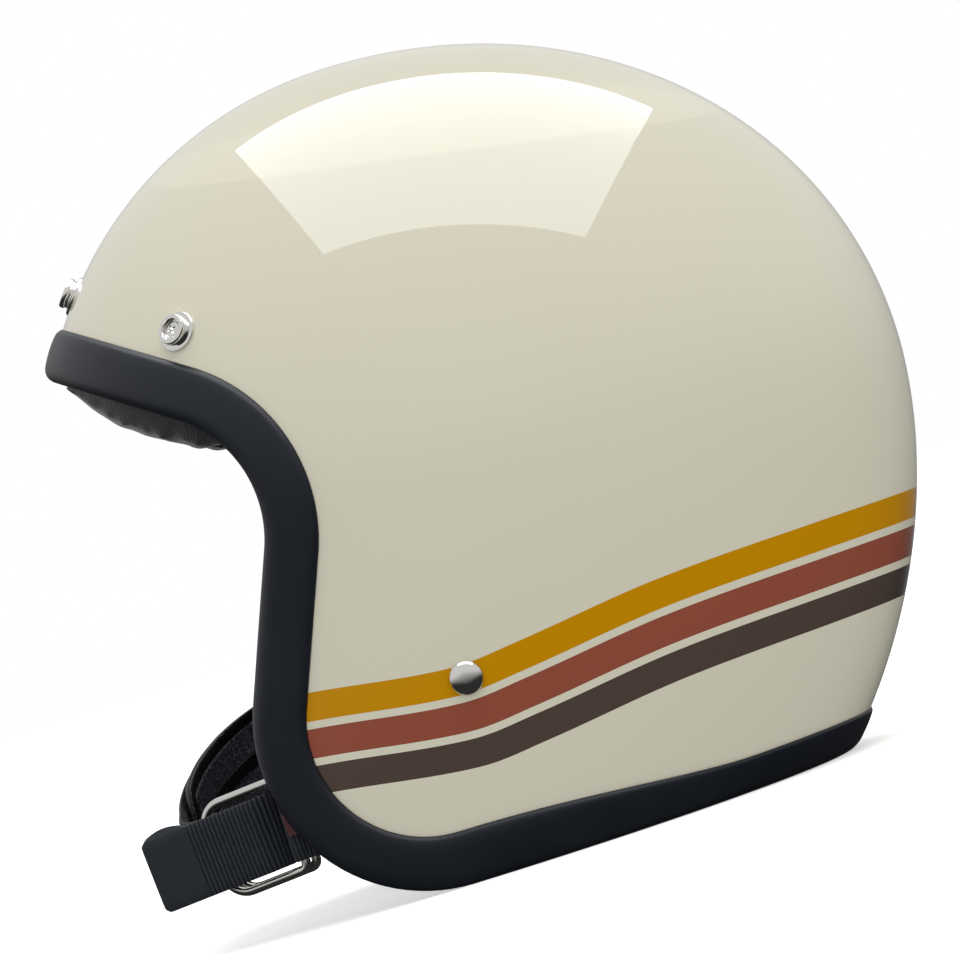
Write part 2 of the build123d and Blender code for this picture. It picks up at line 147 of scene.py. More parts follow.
def new_material(name, **sockets):
    """A material with its Principled shader; constants go on the shader's own sockets."""
    material = bpy.data.materials.new(name)
    material.use_nodes = True
    shader = material.node_tree.nodes["Principled BSDF"]
    for socket, value in sockets.items():
        shader.inputs[socket.replace("_", " ")].default_value = value
    return material, shader


def wire(material, source, target):
    material.node_tree.links.new(source, target)


def own_place(material):
    """Coordinates fixed to the piece, so that a pattern keeps its real size."""
    return node(material, "ShaderNodeTexCoord").outputs["Object"]


def two_tone(material, factor, low, high):
    """A colour between two hex values."""
    mix = node(
        material, "ShaderNodeMix", [(factor, "Factor")], data_type="RGBA",
        in_6=linear(low), in_7=linear(high),
    )
    return mix.outputs[2]


def relief(material, shader, height, strength, depth, socket="Normal"):
    """Use a height as a bump on the shader. The depth is in millimetres."""
    bump = node(
        material, "ShaderNodeBump", [(height, "Height")], in_Strength=strength, in_Distance=depth * mm
    )
    wire(material, bump.outputs["Normal"], shader.inputs[socket])


def dress(piece, material):
    piece.data.materials.clear()
    piece.data.materials.append(material)


# %% [markdown]
# ## The dome
# Every layer of the helmet follows one dome. Seen from the side it is a superellipse, flatter at the
# back of the skirt; at each height its plan is an ellipse. Working it out by formula, rather than
# pushing vertices by eye, keeps the gloss reflections even and lets the edging, the shell and the
# liner follow exactly the same surface.

# %% The dome's formula
equator = 121.6
meeting_y = -12.2
front_reach, back_reach = 126.8, 148.6
upper_rise, lower_drop = 133.4, 168.3
upper_roundness, lower_roundness = 2.04, 1.82
half_width, rim_tuck, tuck_exponent = 118.0, 14.0, 2.2


def level(z, inset=0.0):
    """Centre, half length and half width, in millimetres, of the dome's ellipse at a height."""
    above = z >= equator
    rise = (upper_rise if above else lower_drop) - (inset if above else 0)
    power = upper_roundness if above else lower_roundness
    share = min(abs(z - equator) / rise, 1.0)
    back = (1 - share**power) ** (1 / power)
    y_back = meeting_y + (back_reach - inset) * back
    y_front = meeting_y - (front_reach - inset) * (back if above else 1.0)
    width = (half_width - inset) * back
    if not above:
        width = half_width - inset - rim_tuck * ((equator - z) / equator) ** tuck_exponent
    return (y_front + y_back) / 2, (y_back - y_front) / 2, width


def side_x(y, z, inset=0.0):
    """X of the dome's left side at a place in the side view."""
    centre, half_length, width = level(z, inset)
    return width * sqrt(max(0.0, 1 - ((y - centre) / half_length) ** 2))


def dome_point(direction, inset=0.0):
    """The dome's point that a unit vector aims at."""
    above = direction.z >= 0
    power = 2 / (upper_roundness if above else lower_roundness)
    rise = (upper_rise - inset) if above else -lower_drop
    flat = hypot(direction.x, direction.y)
    z = equator + rise * abs(direction.z) ** power
    centre, half_length, width = level(z, inset)
    if flat < 1e-6:
        return Vector((0, centre, z)) * mm
    return Vector((width * direction.x / flat, centre + half_length * direction.y / flat, z)) * mm


# %% [markdown]
# ## The edge line
# Seen from the side, the rim of the helmet is one line: along the brow, round the temple, down the
# straight front of the cheek, round the corner of the skirt and along the flat rim. Two functions
# describe it: one says how far a place lies behind the line, the other walks along it.

# %% The edge line's formula
temple = Vector((-107.6, 130.0))
temple_radius = 38.0
cheek = Vector((-42.0, 52.0))
cheek_radius = 52.0
brow_rise = radians(34.0)
trim_band, rim_band = 16.2, 10.3

span = cheek - temple
lean = atan2(span.y, span.x) + acos((temple_radius + cheek_radius) / span.length)
facing = Vector((cos(lean), sin(lean)))
brow_facing = Vector((sin(brow_rise), cos(brow_rise)))
brow_along = Vector((-brow_facing.y, brow_facing.x))
front_along = Vector((facing.y, -facing.x))
front_length = (cheek - temple).dot(front_along)


def behind_edge(y, z):
    """How far, in millimetres, a place in the side view lies behind the edge line."""
    here = Vector((y, z)) - temple
    if here.dot(brow_along) > 0:
        return here.dot(brow_facing) - temple_radius
    if here.dot(front_along) < 0:
        return here.length - temple_radius
    if here.dot(front_along) < front_length:
        return here.dot(facing) - temple_radius
    if y < cheek.x:
        return cheek_radius - (Vector((y, z)) - cheek).length
    return z


def brow_reach(setback, inset):
    """How far the brow line runs forward before it meets the front of the dome."""
    start = temple + brow_facing * (temple_radius + setback)
    low, high = 0.0, 90.0
    for _ in range(40):
        middle = (low + high) / 2
        place = start + brow_along * middle
        centre, half_length, _width = level(place.y, inset)
        if place.x > centre - half_length:
            low = middle
        else:
            high = middle
    return low


# %% Walking along the edge
stretches = (("brow", 0.30), ("temple", 0.16), ("front", 0.10), ("cheek", 0.14), ("rim", 0.30))


def edge_point(share, setback, inset):
    """A point on the dome, `share` of the way from the middle of the brow to the middle of the back."""
    rest = min(max(share, 0.0), 1.0)
    for name, part in stretches:
        if rest <= part + 1e-9 or name == "rim":
            break
        rest -= part
    t = min(rest / part, 1.0)
    if name == "brow":
        reach = brow_reach(setback, inset)
        place = temple + brow_facing * (temple_radius + setback) + brow_along * reach * (1 - t * t)
    elif name == "temple":
        first = atan2(brow_facing.y, brow_facing.x)
        turn_angle = first + (lean - first) * t
        place = temple + Vector((cos(turn_angle), sin(turn_angle))) * (temple_radius + setback)
    elif name == "front":
        place = temple + facing * (temple_radius + setback) + front_along * front_length * t
    elif name == "cheek":
        first = lean - pi
        turn_angle = first + (-pi / 2 - first) * t
        place = cheek + Vector((cos(turn_angle), sin(turn_angle))) * (cheek_radius - setback)
    else:
        ease = min(1.0, t * 2.2)
        ease = ease * ease * (3 - 2 * ease)
        height = setback * (1 + (rim_band / trim_band - 1) * ease)
        centre, half_length, _width = level(height, inset)
        y_back = centre + half_length
        place = Vector((cheek.x + (y_back - cheek.x) * (1 - (1 - t) ** 2), height))
    x = 0.0 if share <= 0 or share >= 1 else side_x(place.x, place.y, inset)
    return Vector((x, place.x, place.y)) * mm


def loop_point(turn_share, setback, inset):
    """The same, round the whole loop: the left side first, then the right side back to the brow."""
    left = turn_share <= 0.5
    point = edge_point(turn_share * 2 if left else 2 - turn_share * 2, setback, inset)
    return point if left else Vector((-point.x, point.y, point.z))


# %% [markdown]
# ## The painted shell
# The real shell is fibreglass, about 3.5 mm thick, painted cream with three stripes under a clear
# coat. It could be cut from a sphere with poles, but a pole would pinch the reflection on the crown,
# so it starts as a cube, subdivided and blown up to the dome. The faces in front of the edge line are
# deleted: that ragged edge is inside the rubber channel, as on the real one, and Solidify adds the wall.

# %% Shell mesh
def blown_cube(name, cuts, inset):
    """A cube, subdivided and placed on the dome."""
    bpy.ops.object.select_all(action="DESELECT")
    bpy.ops.mesh.primitive_cube_add(size=2)
    piece = bpy.context.object
    piece.name = name
    bpy.ops.object.mode_set(mode="EDIT")
    bpy.ops.mesh.select_all(action="SELECT")
    bpy.ops.mesh.subdivide(number_cuts=cuts)
    bpy.ops.object.mode_set(mode="OBJECT")
    for vertex in piece.data.vertices:
        even = Vector([sin(c * pi / 4) / cos(c * pi / 4) for c in vertex.co])
        vertex.co = dome_point(even.normalized(), inset)
    return piece


def delete_faces(piece, unwanted):
    """Delete the faces whose centre, in millimetres, fits a test."""
    only(piece)
    bpy.ops.object.mode_set(mode="EDIT")
    bpy.ops.mesh.select_all(action="DESELECT")
    bpy.ops.mesh.select_mode(type="FACE")
    mesh = bmesh.from_edit_mesh(piece.data)
    for face in mesh.faces:
        face.select_set(unwanted(face.calc_center_median() / mm))
    bmesh.update_edit_mesh(piece.data)
    bpy.ops.mesh.delete(type="FACE")
    bpy.ops.object.mode_set(mode="OBJECT")


shell = blown_cube("painted_shell", 63, 0.0)
delete_faces(shell, lambda c: behind_edge(c.y, c.z) < 6.5 or c.z < 6.5)
tidy_mesh(shell)
wall = shell.modifiers.new("wall", "SOLIDIFY")
wall.thickness = 3.5 * mm
wall.offset = -1
apply_modifiers(shell)
smooth(shell)

# %% [markdown]
# The three stripes run level from the front, dip at the strap rivet and rise to the back. Their shape
# is one smooth curve in the side view. Each vertex stores how far it is above that curve, in
# millimetres, and the paint reads the stored number, so the stripes stay sharp and wrap round the back.

# %% Stripe heights on the shell
stripe_knots = [(-120, 70.5), (-72, 65.6), (-29, 60.2), (-8, 61.8), (38, 67.0), (90, 68.4), (140, 68.2)]


def through(knots, x):
    """A smooth curve through knots, given as (x, value)."""
    i = max(0, min(len(knots) - 2, sum(1 for knot in knots if knot[0] <= x) - 1))
    (x0, v0), (x1, v1) = knots[i], knots[i + 1]
    before, after = knots[max(i - 1, 0)], knots[min(i + 2, len(knots) - 1)]
    slope0 = (v1 - before[1]) / (x1 - before[0])
    slope1 = (after[1] - v0) / (after[0] - x0)
    gap = x1 - x0
    t = (x - x0) / gap
    return (
        v0 * (2 * t**3 - 3 * t**2 + 1)
        + v1 * (3 * t**2 - 2 * t**3)
        + gap * (slope0 * (t**3 - 2 * t**2 + t) + slope1 * (t**3 - t**2))
    )


heights = shell.data.attributes.new("above_stripe", "FLOAT", "POINT")
for vertex in shell.data.vertices:
    heights.data[vertex.index].value = vertex.co.z / mm - through(stripe_knots, vertex.co.y / mm)
stands_for(shell, "helmet", "painted_shell", "outer_shell")

# %% [markdown]
# Gloss two-pack paint: a cream base coat with a soft unevenness that only shows in large areas, three
# flat stripe colours, and a clear coat over both. The clear coat carries the sharp reflection and the
# faint orange peel of sprayed lacquer, about 2.5 mm from bump to bump.

# %% Paint material
stripe_width, stripe_pitch = 8.9, 11.2
paint, shader = new_material(
    "gloss_two_pack_paint", Roughness=0.45, Specular_IOR_Level=0.0,
    Coat_Weight=1.0, Coat_Roughness=0.02, Coat_IOR=1.5,
)
place = own_place(paint)
cloudy = node(paint, "ShaderNodeTexNoise", [(place, "Vector")], in_Scale=9.0, in_Detail=2.0)
cream = two_tone(paint, cloudy.outputs["Fac"], "#DDD9C3", "#E2DECA")
stored = node(paint, "ShaderNodeAttribute", attribute_name="above_stripe")
low, high = -40.0, 10.0
spread = node(
    paint, "ShaderNodeMapRange", [(stored.outputs["Fac"], "Value")],
    in_From_Min=low, in_From_Max=high,
)
bands = node(paint, "ShaderNodeValToRGB", [(spread.outputs["Result"], "Fac")])
bands.color_ramp.interpolation = "CONSTANT"
bands.color_ramp.elements[1].position = 0.999
stripe_colours = ("#54463F", "#98523F", "#CC8F00")
for index, colour in enumerate(stripe_colours):
    middle = stripe_pitch * (index - 2)
    for offset, tint in ((-stripe_width / 2, linear(colour)), (stripe_width / 2, (0, 0, 0, 0))):
        stop = bands.color_ramp.elements.new((middle + offset - low) / (high - low))
        stop.color = tint
bands.color_ramp.elements[0].color = (0, 0, 0, 0)
bands.color_ramp.elements[-1].color = (0, 0, 0, 0)
coat = node(
    paint, "ShaderNodeMix",
    [(bands.outputs["Alpha"], "Factor"), (cream, 6), (bands.outputs["Color"], 7)],
    data_type="RGBA",
)
wire(paint, coat.outputs[2], shader.inputs["Base Color"])
peel = node(paint, "ShaderNodeTexNoise", [(place, "Vector")], in_Scale=1 / (2.5 * mm), in_Detail=1.0)
relief(paint, shader, peel.outputs["Fac"], 0.03, 0.05, "Coat Normal")
dress(shell, paint)

# %% [markdown]
# ## The rubber edging
# A moulded rubber channel is pushed over the shell's edge, all the way round. Sweeping a profile along
# a curve would twist at the corners, so the channel is a grid: along one way it walks the edge line,
# along the other it goes round a profile given as how far behind the edge and how deep below the
# shell's surface each point lies. That keeps its outer lip on the shell everywhere.

# %% A grid placed by a rule
def formed_grid(name, columns, rows, placed, close_ends=False):
    """A grid primitive whose every vertex is put where `placed(u, v)` says, then merged."""
    bpy.ops.object.select_all(action="DESELECT")
    bpy.ops.mesh.primitive_grid_add(x_subdivisions=columns, y_subdivisions=rows, size=1)
    piece = bpy.context.object
    piece.name = name
    for vertex in piece.data.vertices:
        vertex.co = placed(vertex.co.x + 0.5, vertex.co.y + 0.5)
    tidy_mesh(piece, outward=False)
    if close_ends:
        bpy.ops.object.mode_set(mode="EDIT")
        bpy.ops.mesh.select_mode(type="VERT")
        bpy.ops.mesh.select_all(action="DESELECT")
        bpy.ops.mesh.select_non_manifold()
        bpy.ops.mesh.fill_holes(sides=0)
        bpy.ops.object.mode_set(mode="OBJECT")
    tidy_mesh(piece)
    return piece


def round_profile(corners, share):
    """A point on the closed outline through corners, `share` of the way round."""
    place = (share % 1.0) * len(corners)
    i = int(place)
    t = place - i
    p0, p1, p2, p3 = (Vector(corners[(i + k) % len(corners)]) for k in (-1, 0, 1, 2))
    return 0.5 * (
        2 * p1 + (p2 - p0) * t + (2 * p0 - 5 * p1 + 4 * p2 - p3) * t * t
        + (3 * p1 - 3 * p2 + p3 - p0) * t**3
    )


# %% Edging mesh
# Each corner is (millimetres behind the nose, millimetres inside the shell's surface).
channel = [
    (16.2, 0.0), (15.9, -1.0), (14.6, -1.75), (11.0, -2.3), (6.5, -2.5), (3.0, -2.35), (0.9, -1.2),
    (0.0, 0.8), (0.15, 2.8), (1.2, 4.5), (3.6, 5.4), (8.0, 5.5), (13.6, 5.4), (14.4, 4.8),
    (14.2, 3.7), (9.0, 3.6), (4.0, 3.6), (3.6, 1.8), (4.0, 0.1), (9.0, 0.05),
]


def channel_point(u, v):
    behind, inside = round_profile(channel, v)
    return loop_point(u, max(behind, 0.0), inside)


edging = formed_grid("rubber_edging", 420, 60, channel_point)
smooth(edging)
stands_for(edging, "helmet", "edge_rubber", "edge_trim")

# %% [markdown]
# Moulded rubber is a dark blue-grey with a satin skin. It is never quite clean or even, so its
# roughness wanders over a few centimetres and a very fine grain, about 0.6 mm, breaks the reflection.

# %% Rubber material
rubber, shader = new_material("moulded_rubber", Roughness=0.42, Specular_IOR_Level=0.3)
place = own_place(rubber)
wander = node(rubber, "ShaderNodeTexNoise", [(place, "Vector")], in_Scale=35.0, in_Detail=3.0)
wire(rubber, two_tone(rubber, wander.outputs["Fac"], "#10151D", "#1A202B"), shader.inputs["Base Color"])
skin = node(
    rubber, "ShaderNodeMapRange", [(wander.outputs["Fac"], "Value")], in_To_Min=0.36, in_To_Max=0.5
)
wire(rubber, skin.outputs["Result"], shader.inputs["Roughness"])
grain = node(rubber, "ShaderNodeTexNoise", [(place, "Vector")], in_Scale=1 / (0.6 * mm), in_Detail=2.0)
relief(rubber, shader, grain.outputs["Fac"], 0.12, 0.1)
dress(edging, rubber)

# %% [markdown]
# ## Snap studs and their screws
# A snap stud is turned from brass and chromed: a flange that sits on the paint, a waist that the
# visor's spring grips, a rounded barrel and a recess for the screw. A turned part is a profile spun
# about its axis, which is what the spin operator does; it is then stood on the dome along its normal.

# %% Turning a profile
def outward(x, y, z):
    """The dome's outward normal at a point of its surface, all in millimetres."""

    def field(px, py, pz):
        centre, half_length, width = level(pz)
        return (px / width) ** 2 + ((py - centre) / half_length) ** 2

    step = 0.1
    return Vector((
        field(x + step, y, z) - field(x - step, y, z),
        field(x, y + step, z) - field(x, y - step, z),
        field(x, y, z + step) - field(x, y, z - step),
    )).normalized()


def turned(name, profile, steps=64):
    """Spin a profile of (radius, height) in millimetres about the Z axis."""
    mesh = bpy.data.meshes.new(name)
    points = [(r * mm, 0, h * mm) for r, h in profile]
    mesh.from_pydata(points, [(i, i + 1) for i in range(len(points) - 1)], [])
    piece = bpy.data.objects.new(name, mesh)
    bpy.context.scene.collection.objects.link(piece)
    only(piece)
    bpy.ops.object.mode_set(mode="EDIT")
    bpy.ops.mesh.select_all(action="SELECT")
    bpy.ops.mesh.spin(steps=steps, angle=2 * pi, center=(0, 0, 0), axis=(0, 0, 1))
    bpy.ops.object.mode_set(mode="OBJECT")
    tidy_mesh(piece, gap=1e-6)
    return piece


def stand_on(piece, origin, normal, spin=0.0):
    """Stand a piece made about the Z axis on a place, in millimetres, along a normal."""
    turn = normal.to_track_quat("Z", "Y").to_matrix().to_4x4()
    piece.matrix_world = Matrix.Translation(Vector(origin) * mm) @ turn @ Matrix.Rotation(spin, 4, "Z")
    settle(piece)


# %% Stud and screw
stud_profile = [
    (0, -0.5), (6.4, -0.5), (6.5, 0.1), (6.3, 0.55), (5.8, 0.8), (5.1, 0.86), (4.65, 1.0), (4.45, 1.35),
    (4.5, 1.75), (4.8, 2.05), (4.92, 2.5), (4.9, 3.2), (4.7, 3.6), (4.3, 3.8), (3.8, 3.78), (3.4, 3.6),
    (3.25, 3.2), (3.2, 2.1), (0, 2.0),
]
screw_profile = [(0, 1.95), (2.65, 1.95), (2.72, 2.3), (2.5, 2.7), (1.8, 2.95), (0, 3.05)]
side_stud = (side_x(-78.1, 187.1), -78.1, 187.1)
front_centre, front_half, _width = level(210.0)
stud_places = {
    "left": side_stud,
    "center": (0.0, front_centre - front_half, 210.0),
    "right": (-side_stud[0], *side_stud[1:]),
}
studs, screws = [], []
for side, origin in stud_places.items():
    stud = turned(f"snap_stud_{side}_turned", stud_profile)
    stand_on(stud, origin, outward(*origin))
    smooth(stud, 35)
    stands_for(stud, "helmet", "bright_metal", f"snap_stud_{side}")
    studs.append(stud)
    screw = turned(f"snap_screw_{side}", screw_profile, 48)
    for spin in (0.35, 0.35 + pi / 2):
        bpy.ops.object.select_all(action="DESELECT")
        bpy.ops.mesh.primitive_cube_add(size=1)
        slot_cutter = bpy.context.object
        slot_cutter.dimensions = (3.2 * mm, 0.62 * mm, 2 * mm)
        slot_cutter.location = (0, 0, 3.35 * mm)
        slot_cutter.rotation_euler = (0, 0, spin)
        settle(slot_cutter)
        cut = screw.modifiers.new("cross", "BOOLEAN")
        cut.object = slot_cutter
        cut.operation = "DIFFERENCE"
        apply_modifiers(screw)
        bpy.data.objects.remove(slot_cutter)
    stand_on(screw, origin, outward(*origin))
    smooth(screw, 35)
    screws.append(screw)
for screw in screws:
    stands_for(screw, "helmet", "bright_metal", "snap_screws")

# %% [markdown]
# ## Strap rivets
# One domed rivet on each side carries the chin strap. Its head is polished, its shank passes through
# the shell and a shoulder keeps the hanger plate off the lining.

# %% Rivets
pivot_y, pivot_z = -25.4, 60.5
rivet_profile = [
    (0, 97.0), (2.4, 97.0), (2.4, 101.3), (4.4, 101.3), (4.4, 110.0), (2.4, 110.0), (2.4, 113.2),
    (5.2, 113.2), (5.3, 113.9), (5.25, 114.6), (4.9, 115.2), (4.1, 115.75), (3.0, 116.1), (1.5, 116.28),
    (0, 116.3),
]
rivets = []
for side, sign in (("left", 1), ("right", -1)):
    rivet = turned(f"strap_rivet_{side}", rivet_profile)
    stand_on(rivet, (0, pivot_y, pivot_z), Vector((sign, 0, 0)))
    smooth(rivet, 40)
    stands_for(rivet, "helmet", "bright_metal", f"rivet_{side}")
    rivets.append(rivet)

# %% [markdown]
# Chrome is a metal with hardly any roughness: all it shows is the room. Fine swirl marks from buffing
# break the reflection a little. The hidden plates, nuts and washers are plain zinc-plated steel with a
# duller, slightly streaked face, and the rings are polished stainless wire.

# %% Metals
def metal(name, colour, low, high, grain_mm, strength):
    """A metal whose roughness wanders between two values at a real grain size."""
    material, shader = new_material(name, Metallic=1.0)
    shader.inputs["Base Color"].default_value = linear(colour)
    place = own_place(material)
    wear = node(
        material, "ShaderNodeTexNoise", [(place, "Vector")], in_Scale=1 / (grain_mm * mm), in_Detail=4.0
    )
    rough = node(
        material, "ShaderNodeMapRange", [(wear.outputs["Fac"], "Value")], in_To_Min=low, in_To_Max=high
    )
    wire(material, rough.outputs["Result"], shader.inputs["Roughness"])
    relief(material, shader, wear.outputs["Fac"], strength, 0.05)
    return material


chrome = metal("chromed_brass", "#E6E5E1", 0.04, 0.12, 1.2, 0.04)
stainless = metal("polished_stainless_wire", "#DAD8D3", 0.12, 0.25, 0.8, 0.12)
zinc = metal("zinc_plated_steel", "#A9A9A6", 0.3, 0.5, 2.0, 0.25)
for piece in studs + screws + rivets:
    dress(piece, chrome)
for name in ("hanger_plate_left", "hanger_plate_right", "rivet_washers", "snap_tee_nuts"):
    dress(nodes[name], zinc)

# %% [markdown]
# ## The chin strap's route
# The strap is woven nylon, 23 mm wide. It starts at the right rivet, goes round the chin, passes up
# through both rings, folds back over them and ends in a sewn hem. A flat strap keeps its width while
# its middle line bends, so the middle line is worked out first and the webbing is laid on it.

# %% The middle line
forward = Vector((-0.42, -0.905, -0.08)).normalized()
outwards = Vector((-forward.y, forward.x, 0)).normalized()
ring_origin = Vector((73.0, -88.0, 33.0))
web_width, web_thickness, rib_pitch = 23.0, 1.8, 1.5
fold_offset, fold_centre, tail_length, buckle_run = 6.0, 12.2, 51.0, 30.0


def at_buckle(along, out):
    return ring_origin + forward * along + outwards * out


def curve_through(points, first_slope, last_slope, steps):
    """A smooth line through points, with given directions at its ends."""
    line = []
    for i in range(len(points) - 1):
        p0, p1 = points[i], points[i + 1]
        gap = (p1 - p0).length
        m0 = first_slope * gap if i == 0 else (p1 - points[i - 1]).normalized() * gap
        m1 = last_slope * gap if i == len(points) - 2 else (points[i + 2] - p0).normalized() * gap
        for step in range(steps):
            t = step / steps
            line.append(
                p0 * (2 * t**3 - 3 * t**2 + 1) + p1 * (3 * t**2 - 2 * t**3)
                + m0 * (t**3 - 2 * t**2 + t) + m1 * (t**3 - t**2)
            )
    return line + [points[-1]]


def even_steps(line, spacing):
    """The same line in equal steps."""
    lengths = [0.0]
    for a, b in zip(line, line[1:]):
        lengths.append(lengths[-1] + (b - a).length)
    count = max(2, round(lengths[-1] / spacing))
    result, i = [], 0
    for k in range(count + 1):
        goal = lengths[-1] * k / count
        while i < len(line) - 2 and lengths[i + 1] < goal:
            i += 1
        share = (goal - lengths[i]) / max(lengths[i + 1] - lengths[i], 1e-9)
        result.append(line[i].lerp(line[i + 1], min(max(share, 0), 1)))
    return result, lengths[-1]


plate_inner = 99.4
web_inside = plate_inner - 1.5 - web_thickness / 2
pivot = Vector((0, pivot_y, pivot_z))
left_hang = Vector((0, ring_origin.y - pivot_y, ring_origin.z - pivot_z)).normalized()
right_hang = Vector((0, -1, -0.06)).normalized()
left_start = pivot + Vector((web_inside, 0, 0)) + left_hang * 12
right_start = pivot + Vector((-web_inside, 0, 0)) + right_hang * 12
lean_in = Vector((0.4, 0, 0))

fold = [
    at_buckle(fold_centre - fold_offset * sin(pi * k / 24), fold_offset * cos(pi * k / 24))
    for k in range(25)
]
round_chin = curve_through(
    [at_buckle(buckle_run, -fold_offset), Vector((8, -125, 33.5)), Vector((-50, -113.5, 47)),
     Vector((-79, -83, 57)), right_start],
    forward, (-lean_in - right_hang).normalized(), 40,
)
long_line = [at_buckle(tail_length, fold_offset)] + fold + round_chin
eye_radius, eye_centre = 3.9, 0.3
eye = [
    at_buckle(eye_centre + eye_radius * sin(pi * k / 20), eye_radius * cos(pi * k / 20))
    for k in range(21)
]
short_line = curve_through(
    [left_start, at_buckle(-16, 2.2), at_buckle(eye_centre, eye_radius)],
    (left_hang - lean_in).normalized(), forward, 30,
)[:-1] + eye + [at_buckle(-7, -2.2), at_buckle(-12, -0.2)]

# %% [markdown]
# Webbing is woven with thick cross threads, so it is ribbed across its width, one rib every 1.5 mm. The
# ribs catch the light and show at the strap's edge, so they are real shape, not only a bump. At the tail
# the webbing is folded inwards and sewn, which makes it twice as thick and smooth, and the folded layer
# has slipped a little, so that it shows along the top.

# %% Laying webbing on a line
def lay_webbing(name, line, hem=0.0):
    """Ribbed webbing along a line; the first `hem` millimetres are folded double and smooth."""
    points, length = even_steps(line, rib_pitch / 6)
    count = len(points) - 1
    edge_rows = 4
    face_rows = 10
    rows = 2 * (edge_rows + face_rows)
    frames = []
    for k, point in enumerate(points):
        along = (points[min(k + 1, count)] - points[max(k - 1, 0)]).normalized()
        across = Vector((0, 0, 1)) - along * along.z
        across.normalize()
        frames.append((point, across, along.cross(across)))

    def placed(u, v):
        k = min(int(round(u * count)), count)
        point, across, facing_out = frames[k]
        distance = length * k / count
        wave = cos(2 * pi * distance / rib_pitch)
        rib = 0.0 if distance < hem else 0.3 * (abs(wave) ** 0.6) * (1 if wave > 0 else -1)
        doubled = 1.0 if distance < hem else 0.0
        if hem and hem <= distance < hem + 1.0:
            doubled = 1.0 - (distance - hem)
        half = web_thickness / 2 - 0.3 + rib
        row = int(round(v * rows)) % rows
        if row < face_rows:
            wide, thick = 1 - 2 * row / face_rows, 1.0
        elif row < face_rows + edge_rows:
            a = pi * (row - face_rows) / edge_rows
            wide, thick = -1 - 0.06 * sin(a), cos(a)
        elif row < 2 * face_rows + edge_rows:
            wide, thick = -1 + 2 * (row - face_rows - edge_rows) / face_rows, -1.0
        else:
            a = pi * (row - 2 * face_rows - edge_rows) / edge_rows
            wide, thick = 1 + 0.06 * sin(a), -cos(a)
        end = min(distance, length - distance)
        corner = 1.0 - 0.10 * max(0.0, 1 - end / 2.0) ** 2
        edge_soft = 1 - 0.25 * abs(wide) ** 12
        depth = thick * half * edge_soft
        slip = 0.0
        if doubled and thick < 0:
            depth -= doubled * web_thickness * edge_soft
            slip = 1.8 * doubled * sin(pi * min(distance / hem, 1.0))
        sideways = wide * (web_width / 2 - 0.5) * corner + slip
        return (point + across * sideways + facing_out * depth) * mm

    piece = formed_grid(name, count, rows, placed, close_ends=True)
    smooth(piece, 60)
    # Painted shade mask: each point stores how high it sits on its rib, 1 on the crest and 0 down in the
    # groove, and the smooth hem an even 0.55. The material darkens the grooves by this value.
    nearest = KDTree(count + 1)
    for k, point in enumerate(points):
        nearest.insert(point * mm, k)
    nearest.balance()
    crest = piece.data.attributes.new("rib_shade_mask", "FLOAT", "POINT")
    for vertex in piece.data.vertices:
        distance = length * nearest.find(vertex.co)[1] / count
        level_here = 0.55 if distance < hem else 0.5 + 0.5 * cos(2 * pi * distance / rib_pitch)
        crest.data[vertex.index].value = level_here
    print(name, "length", round(length), "mm")
    return piece


long_web = lay_webbing("long_strap_webbing", long_line, hem=17.0)
stands_for(long_web, "chin_strap", "webbing", "long_strap")
short_web = lay_webbing("short_strap_webbing", short_line)
stands_for(short_web, "chin_strap", "webbing", "short_strap")

# %% [markdown]
# Nylon webbing is dyed blue-black. It has a faint sheen, from many parallel filaments. Shade is painted
# down between the ribs, where the colour goes near black. The threads along the strap, 0.7 mm apart, are
# drawn as a bump.

# %% Webbing material
webbing, shader = new_material(
    "woven_nylon_webbing", Roughness=0.62, Sheen_Weight=0.25, Sheen_Roughness=0.4,
    Specular_IOR_Level=0.35,
)
threads = node(
    webbing, "ShaderNodeTexNoise", [(own_place(webbing), "Vector")], in_Scale=1 / (0.7 * mm), in_Detail=3.0
)
tint = two_tone(webbing, threads.outputs["Fac"], "#171C24", "#343D4A")
# Painted shade: the stored rib value mixes the thread colour towards near black #030405 down in the
# grooves.
ribs = node(webbing, "ShaderNodeAttribute", attribute_name="rib_shade_mask")
shaded = node(
    webbing, "ShaderNodeMix", [(ribs.outputs["Fac"], "Factor"), (tint, 7)],
    data_type="RGBA", in_6=linear("#030405"),
)
wire(webbing, shaded.outputs[2], shader.inputs["Base Color"])
relief(webbing, shader, threads.outputs["Fac"], 0.5, 0.15)
dress(long_web, webbing)
dress(short_web, webbing)

# %% [markdown]
# ## The two rings
# Each ring is one length of bright wire bent to a D and welded. Here the wire is a round tube laid along
# the D's middle line: the corners are arcs, and the straight bar sits in the short strap's eye.

# %% Rings
ring_width, ring_length, wire_radius, ring_spacing, ring_lag = 29.0, 28.0, 1.5, 3.3, 2.0
across_buckle = outwards.cross(forward)


def ring_outline():
    """The D's middle line in its own plane, (along, across), with round corners."""
    corners = [(0, -ring_width / 2, 2.2), (0, ring_width / 2, 2.2),
               (ring_length, ring_width / 2, 7.5), (ring_length, -ring_width / 2, 7.5)]
    outline = []
    for i, (x, y, radius) in enumerate(corners):
        here = Vector((x, y))
        before = (Vector(corners[i - 1][:2]) - here).normalized()
        after = (Vector(corners[(i + 1) % 4][:2]) - here).normalized()
        centre = here + (before + after) * radius
        for k in range(13):
            a = pi / 2 * k / 12
            outline.append(centre - after * radius * cos(a) - before * radius * sin(a))
    return outline


